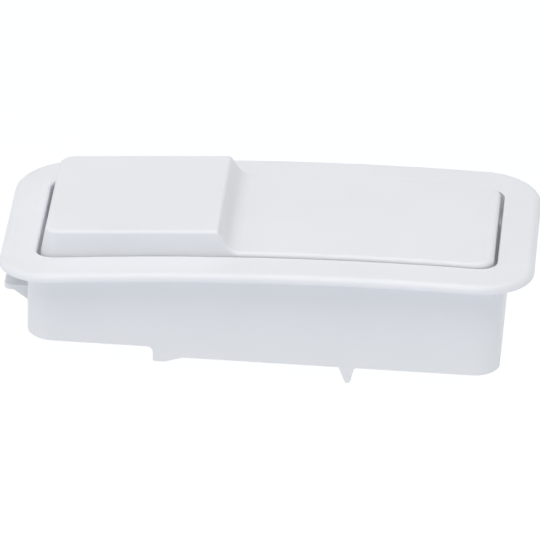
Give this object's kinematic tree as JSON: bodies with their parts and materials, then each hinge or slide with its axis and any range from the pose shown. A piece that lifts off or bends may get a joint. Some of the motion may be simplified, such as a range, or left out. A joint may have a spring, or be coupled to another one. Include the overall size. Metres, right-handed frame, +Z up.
{
  "type": "cistern push button",
  "caption": "Arched push button for a toilet cistern lid: a plate with a raised finger pad that tilts on a pin in a rounded frame.",
  "frame": {"origin": "on the surface of the lid that the frame sits on, at the middle of the frame's length and width", "axes": "+X along the frame from the finger pad to the hinge, +Y across it towards the back, +Z up out of the lid"},
  "size_m": [0.13, 0.067, 0.0375],
  "materials": {
    "frame_plastic": "satin",
    "cap_plastic": "satin",
    "pin_steel": "drawn",
    "spring_steel": "drawn",
    "screw_plastic": "moulded",
    "foot_rubber": "matt"
  },
  "bodies": {
    "frame": {"frame_housing": "frame_plastic", "hinge_pin": "pin_steel", "return_spring_front": "spring_steel", "return_spring_back": "spring_steel"},
    "cap": {"button_cap": "cap_plastic", "adjusting_screw": "screw_plastic", "lock_nut": "screw_plastic", "push_foot": "foot_rubber"}
  },
  "joints": [
    {"name": "cap_press", "type": "hinge", "parent": "frame", "child": "cap", "pos_m": [0.0538, 0, -0.0034], "axis": [0, -1, 0], "range_deg": [0, 4], "stiffness_Nm_per_rad": 8.5, "springref_deg": -2.86, "deforming": ["return_spring_front", "return_spring_back"]}
  ]
}
